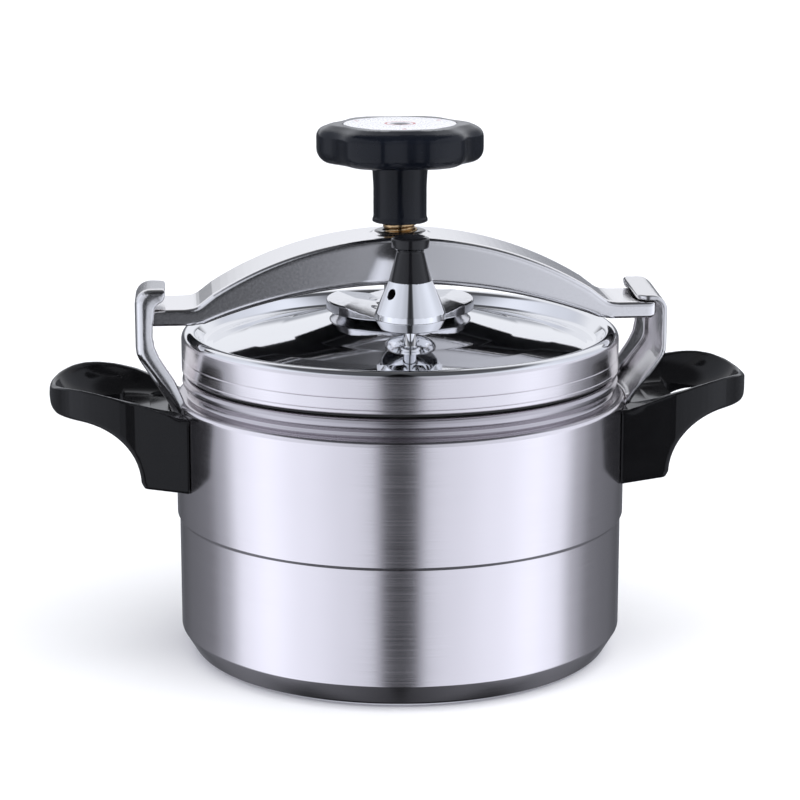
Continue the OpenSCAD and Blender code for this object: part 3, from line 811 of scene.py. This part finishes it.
# CAD nodes that stay, with the material that each gets
CARRIED = {
    "bracket_rivets": FASTENER, "handle_nuts": FASTENER, "lid_gasket": RUBBER,
    "vent_pipe_nut": FASTENER, "vent_pipe_washer": RUBBER, "safety_plug_nut": FASTENER,
    # the needle inside the weight is black as painted shade in the side hole
    "safety_plug_seal": RUBBER, "regulator_needle": BLACK, "screw_foot": FASTENER,
    # the knob screw down its hole takes the dark steel as painted shade
    "foot_clip": FASTENER, "knob_screw": SHADE_STEEL}
for name, material in CARRIED.items():
    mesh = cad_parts[name].data
    mesh.materials.clear()
    mesh.materials.append(material)


# ---------------------------------------------------------------- floor, light and camera
CAMERA_TURN = math.radians(5.2)      # the camera stands this far to the left of the front
CAMERA_AWAY = 1.245
CAMERA_UP = 0.413
CAMERA_DOWN = math.radians(12.95)
SOFTBOX = dict(aim=(0, 0, 0.1), size=(1.4, 1.4), power=7)


def build_floor():
    bm = bmesh.new()
    rings = [0.25, 0.6, 1.5, 4.0, 12.0]
    add_lathe(bm, [(0, 0)] + [(r / MM, 0) for r in rings], segments=64)
    floor = object_from(bm, "studio_floor")
    if floor.data.polygons[0].normal.z < 0:
        floor.data.flip_normals()
    m = Nodes("pale_floor")
    m.set(Metallic=0.0, Specular_IOR_Level=0.15)
    grain = m.noise(m.place((30, 30, 30)), 1.0, 3.0, 0.5)
    m.link(m.ramp(grain, 0.75, 0.85), m.shader.inputs["Roughness"])
    m.tint(grain, (0.90, 0.90, 0.90), (0.91, 0.91, 0.915))
    floor.data.materials.append(m.material)
    floor.visible_glossy = False


def build_world():
    """Studio surroundings as brightness by direction, fixed to the scene; the camera itself sees white.

    Stops are (degrees, brightness). Turn is measured from the front to either side, height from level.
    """
    world = bpy.data.worlds.new("studio")
    bpy.context.scene.world = world
    world.use_nodes = True
    tree = world.node_tree
    shade = next(n for n in tree.nodes if n.type == "BACKGROUND")

    def calc(operation, a, b=None):
        return math_node(tree, operation, a, b)

    def ramp(factor, span, stops):
        node = tree.nodes.new("ShaderNodeValToRGB")
        node.color_ramp.interpolation = "EASE"
        elements = node.color_ramp.elements
        while len(elements) < len(stops):
            elements.new(0.5)
        for element, (degrees, value) in zip(elements, stops):
            element.position = degrees / span
            element.color = (value * 0.955, value * 0.975, value * 1.03, 1)
        tree.links.new(factor, node.inputs[0])
        return node.outputs[0]

    def blend(factor, first, second, kind="MIX"):
        node = tree.nodes.new("ShaderNodeMix")
        node.data_type = "RGBA"
        node.blend_type = kind
        for socket, value in zip((node.inputs[0], node.inputs[6], node.inputs[7]), (factor, first, second)):
            if isinstance(value, float):
                socket.default_value = value
            else:
                tree.links.new(value, socket)
        return node.outputs[2]

    split = tree.nodes.new("ShaderNodeSeparateXYZ")
    tree.links.new(tree.nodes.new("ShaderNodeTexCoord").outputs["Generated"], split.inputs[0])
    x, y, z = split.outputs
    ahead_x, ahead_y = -math.sin(CAMERA_TURN), -math.cos(CAMERA_TURN)
    ahead = calc("ADD", calc("MULTIPLY", x, ahead_x), calc("MULTIPLY", y, ahead_y))
    side = calc("SUBTRACT", calc("MULTIPLY", x, ahead_y), calc("MULTIPLY", y, ahead_x))
    turn = calc("ABSOLUTE", calc("DIVIDE", calc("ARCTAN2", side, ahead), math.pi))
    height = calc("DIVIDE", calc("ARCSINE", z), math.pi / 2)

    band = ramp(turn, 180, [
        (0, 0.05), (8, 0.07), (11, 0.45), (14, 0.74), (26, 0.82), (50, 0.97), (72, 1.15), (88, 1.0),
        (102, 0.42), (116, 0.19), (138, 0.15), (156, 0.10), (168, 0.17), (178, 0.55)])
    down = ramp(calc("ABSOLUTE", height), 90, [(0, 1.0), (46, 1.0), (66, 0.10), (90, 0.05)])
    lower = blend(1.0, band, down, "MULTIPLY")

    room = ramp(turn, 180, [
        (0, 0.03), (7, 0.05), (15, 0.55), (45, 0.75), (90, 0.95), (120, 0.80), (150, 0.60)])
    ceiling = ramp(height, 90, [(0, 1.0), (44, 1.0), (58, 0.12), (90, 0.10)])
    front = blend(1.0, room, ceiling, "MULTIPLY")
    back = ramp(height, 90, [(0, 0.75), (6, 0.95), (44, 0.95), (54, 0.30), (66, 0.08), (90, 0.10)])
    behind = ramp(turn, 180, [(0, 0.0), (128, 0.0), (150, 1.0), (180, 1.0)])
    upper = blend(behind, front, back)

    above = ramp(height, 90, [(0, 0.0), (2, 0.0), (8, 1.0), (90, 1.0)])
    plain = ramp(height, 90, [(0, 1.0), (90, 1.0)])
    seen = tree.nodes.new("ShaderNodeLightPath").outputs["Is Camera Ray"]
    tree.links.new(blend(seen, blend(above, lower, upper), plain), shade.inputs[0])
    shade.inputs[1].default_value = 1.0


def add_light(name, place, aim, size, power):
    lamp = bpy.data.lights.new(name, "AREA")
    lamp.shape = "RECTANGLE"
    lamp.size, lamp.size_y = size
    lamp.energy = power
    piece = bpy.data.objects.new(name, lamp)
    piece.location = place
    piece.rotation_euler = (Vector(aim) - Vector(place)).to_track_quat("-Z", "Y").to_euler()
    piece.visible_glossy = False
    bpy.context.scene.collection.objects.link(piece)


def add_sun(name, towards, spread, strength):
    lamp = bpy.data.lights.new(name, "SUN")
    lamp.angle = spread
    lamp.energy = strength
    piece = bpy.data.objects.new(name, lamp)
    piece.rotation_euler = Vector(towards).to_track_quat("Z", "Y").to_euler()
    piece.visible_glossy = False
    bpy.context.scene.collection.objects.link(piece)


def build_camera():
    camera = bpy.data.cameras.new("photo_view")
    camera.lens = 113.5
    camera.sensor_width = 36.0
    piece = bpy.data.objects.new("photo_view", camera)
    piece.location = (-CAMERA_AWAY * math.sin(CAMERA_TURN), -CAMERA_AWAY * math.cos(CAMERA_TURN), CAMERA_UP)
    piece.rotation_euler = (math.radians(90) - CAMERA_DOWN, 0, -CAMERA_TURN)
    bpy.context.scene.collection.objects.link(piece)
    bpy.context.scene.camera = piece


build_floor()
build_world()
add_sun("even_daylight", (0.15, -0.25, 1), math.radians(80), 2.75)
add_light("left_softbox", (-1.8, -1.2, 1.4), **SOFTBOX)
add_light("right_softbox", (1.8, -1.2, 1.4), **SOFTBOX)
build_camera()
bpy.context.scene.view_settings.view_transform = "Standard"
